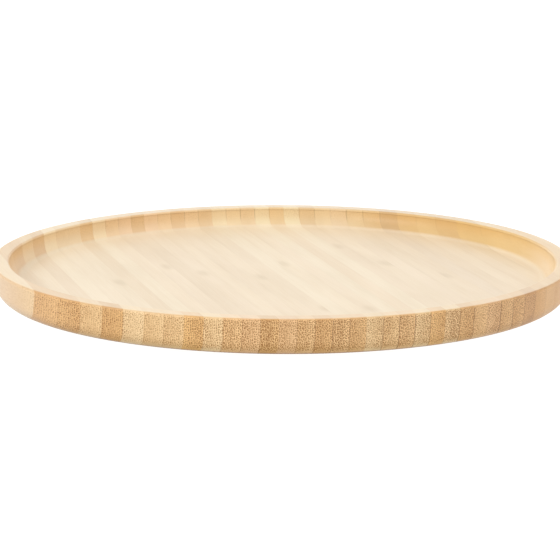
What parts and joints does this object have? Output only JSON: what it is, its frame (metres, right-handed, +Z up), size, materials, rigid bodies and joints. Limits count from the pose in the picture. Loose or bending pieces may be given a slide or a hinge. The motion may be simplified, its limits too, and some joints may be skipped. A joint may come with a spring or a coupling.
{
  "type": "lazy susan turntable",
  "caption": "Round bamboo serving tray with a low raised rim that spins on a ball-bearing swivel over a smaller bamboo base board with rubber feet.",
  "frame": {"origin": "on the spin axis, on the plane of the table that the four rubber feet stand on", "axes": "+Z up along the spin axis, +X from the axis towards the base board's screwdriver access hole"},
  "size_m": [0.39, 0.39, 0.0484],
  "materials": {
    "bamboo": "satin clear lacquer",
    "zinc": "bright zinc plate",
    "ball_steel": "polished",
    "nylon": "moulded, satin",
    "screw_steel": "bright zinc plate",
    "rubber": "matt"
  },
  "bodies": {
    "base": {"base_board": "bamboo", "lower_bearing_plate": "zinc", "rubber_foot_1": "rubber", "rubber_foot_2": "rubber", "rubber_foot_3": "rubber", "rubber_foot_4": "rubber", "foot_washer_1": "zinc", "foot_washer_2": "zinc", "foot_washer_3": "zinc", "foot_washer_4": "zinc", "foot_screw_1": "screw_steel", "foot_screw_2": "screw_steel", "foot_screw_3": "screw_steel", "foot_screw_4": "screw_steel", "plate_screw_1": "screw_steel", "plate_screw_2": "screw_steel", "plate_screw_3": "screw_steel", "plate_screw_4": "screw_steel"},
    "turntable": {"tray": "bamboo", "upper_bearing_plate": "zinc", "tray_screw_1": "screw_steel", "tray_screw_2": "screw_steel", "tray_screw_3": "screw_steel", "tray_screw_4": "screw_steel"},
    "cage": {"ball_cage": "nylon"},
    "ball_01": {"ball_01": "ball_steel"},
    "ball_02": {"ball_02": "ball_steel"},
    "ball_03": {"ball_03": "ball_steel"},
    "ball_04": {"ball_04": "ball_steel"},
    "ball_05": {"ball_05": "ball_steel"},
    "ball_06": {"ball_06": "ball_steel"},
    "ball_07": {"ball_07": "ball_steel"},
    "ball_08": {"ball_08": "ball_steel"},
    "ball_09": {"ball_09": "ball_steel"},
    "ball_10": {"ball_10": "ball_steel"},
    "ball_11": {"ball_11": "ball_steel"},
    "ball_12": {"ball_12": "ball_steel"},
    "ball_13": {"ball_13": "ball_steel"},
    "ball_14": {"ball_14": "ball_steel"},
    "ball_15": {"ball_15": "ball_steel"},
    "ball_16": {"ball_16": "ball_steel"},
    "ball_17": {"ball_17": "ball_steel"},
    "ball_18": {"ball_18": "ball_steel"}
  },
  "joints": [
    {"name": "tray_spin", "type": "hinge", "parent": "base", "child": "turntable", "pos_m": [0, 0, 0.0196], "axis": [0, 0, 1], "continuous": true},
    {"name": "cage_spin", "type": "hinge", "parent": "base", "child": "cage", "pos_m": [0, 0, 0.0196], "axis": [0, 0, 1], "continuous": true},
    {"name": "ball_01_roll", "type": "hinge", "parent": "cage", "child": "ball_01", "pos_m": [0.036, 0, 0.0196], "axis": [1, 0, 0], "continuous": true},
    {"name": "ball_02_roll", "type": "hinge", "parent": "cage", "child": "ball_02", "pos_m": [0.03383, 0.01231, 0.0196], "axis": [0.9397, 0.342, 0], "continuous": true},
    {"name": "ball_03_roll", "type": "hinge", "parent": "cage", "child": "ball_03", "pos_m": [0.02758, 0.02314, 0.0196], "axis": [0.766, 0.6428, 0], "continuous": true},
    {"name": "ball_04_roll", "type": "hinge", "parent": "cage", "child": "ball_04", "pos_m": [0.018, 0.03118, 0.0196], "axis": [0.5, 0.866, 0], "continuous": true},
    {"name": "ball_05_roll", "type": "hinge", "parent": "cage", "child": "ball_05", "pos_m": [0.00625, 0.03545, 0.0196], "axis": [0.1736, 0.9848, 0], "continuous": true},
    {"name": "ball_06_roll", "type": "hinge", "parent": "cage", "child": "ball_06", "pos_m": [-0.00625, 0.03545, 0.0196], "axis": [-0.1736, 0.9848, 0], "continuous": true},
    {"name": "ball_07_roll", "type": "hinge", "parent": "cage", "child": "ball_07", "pos_m": [-0.018, 0.03118, 0.0196], "axis": [-0.5, 0.866, 0], "continuous": true},
    {"name": "ball_08_roll", "type": "hinge", "parent": "cage", "child": "ball_08", "pos_m": [-0.02758, 0.02314, 0.0196], "axis": [-0.766, 0.6428, 0], "continuous": true},
    {"name": "ball_09_roll", "type": "hinge", "parent": "cage", "child": "ball_09", "pos_m": [-0.03383, 0.01231, 0.0196], "axis": [-0.9397, 0.342, 0], "continuous": true},
    {"name": "ball_10_roll", "type": "hinge", "parent": "cage", "child": "ball_10", "pos_m": [-0.036, 0, 0.0196], "axis": [-1, 0, 0], "continuous": true},
    {"name": "ball_11_roll", "type": "hinge", "parent": "cage", "child": "ball_11", "pos_m": [-0.03383, -0.01231, 0.0196], "axis": [-0.9397, -0.342, 0], "continuous": true},
    {"name": "ball_12_roll", "type": "hinge", "parent": "cage", "child": "ball_12", "pos_m": [-0.02758, -0.02314, 0.0196], "axis": [-0.766, -0.6428, 0], "continuous": true},
    {"name": "ball_13_roll", "type": "hinge", "parent": "cage", "child": "ball_13", "pos_m": [-0.018, -0.03118, 0.0196], "axis": [-0.5, -0.866, 0], "continuous": true},
    {"name": "ball_14_roll", "type": "hinge", "parent": "cage", "child": "ball_14", "pos_m": [-0.00625, -0.03545, 0.0196], "axis": [-0.1736, -0.9848, 0], "continuous": true},
    {"name": "ball_15_roll", "type": "hinge", "parent": "cage", "child": "ball_15", "pos_m": [0.00625, -0.03545, 0.0196], "axis": [0.1736, -0.9848, 0], "continuous": true},
    {"name": "ball_16_roll", "type": "hinge", "parent": "cage", "child": "ball_16", "pos_m": [0.018, -0.03118, 0.0196], "axis": [0.5, -0.866, 0], "continuous": true},
    {"name": "ball_17_roll", "type": "hinge", "parent": "cage", "child": "ball_17", "pos_m": [0.02758, -0.02314, 0.0196], "axis": [0.766, -0.6428, 0], "continuous": true},
    {"name": "ball_18_roll", "type": "hinge", "parent": "cage", "child": "ball_18", "pos_m": [0.03383, -0.01231, 0.0196], "axis": [0.9397, -0.342, 0], "continuous": true}
  ],
  "couplings": [
    {"joint": "cage_spin", "follows": "tray_spin", "ratio": 0.5},
    {"joint": "ball_01_roll", "follows": "tray_spin", "ratio": -6.6667},
    {"joint": "ball_02_roll", "follows": "tray_spin", "ratio": -6.6667},
    {"joint": "ball_03_roll", "follows": "tray_spin", "ratio": -6.6667},
    {"joint": "ball_04_roll", "follows": "tray_spin", "ratio": -6.6667},
    {"joint": "ball_05_roll", "follows": "tray_spin", "ratio": -6.6667},
    {"joint": "ball_06_roll", "follows": "tray_spin", "ratio": -6.6667},
    {"joint": "ball_07_roll", "follows": "tray_spin", "ratio": -6.6667},
    {"joint": "ball_08_roll", "follows": "tray_spin", "ratio": -6.6667},
    {"joint": "ball_09_roll", "follows": "tray_spin", "ratio": -6.6667},
    {"joint": "ball_10_roll", "follows": "tray_spin", "ratio": -6.6667},
    {"joint": "ball_11_roll", "follows": "tray_spin", "ratio": -6.6667},
    {"joint": "ball_12_roll", "follows": "tray_spin", "ratio": -6.6667},
    {"joint": "ball_13_roll", "follows": "tray_spin", "ratio": -6.6667},
    {"joint": "ball_14_roll", "follows": "tray_spin", "ratio": -6.6667},
    {"joint": "ball_15_roll", "follows": "tray_spin", "ratio": -6.6667},
    {"joint": "ball_16_roll", "follows": "tray_spin", "ratio": -6.6667},
    {"joint": "ball_17_roll", "follows": "tray_spin", "ratio": -6.6667},
    {"joint": "ball_18_roll", "follows": "tray_spin", "ratio": -6.6667}
  ]
}
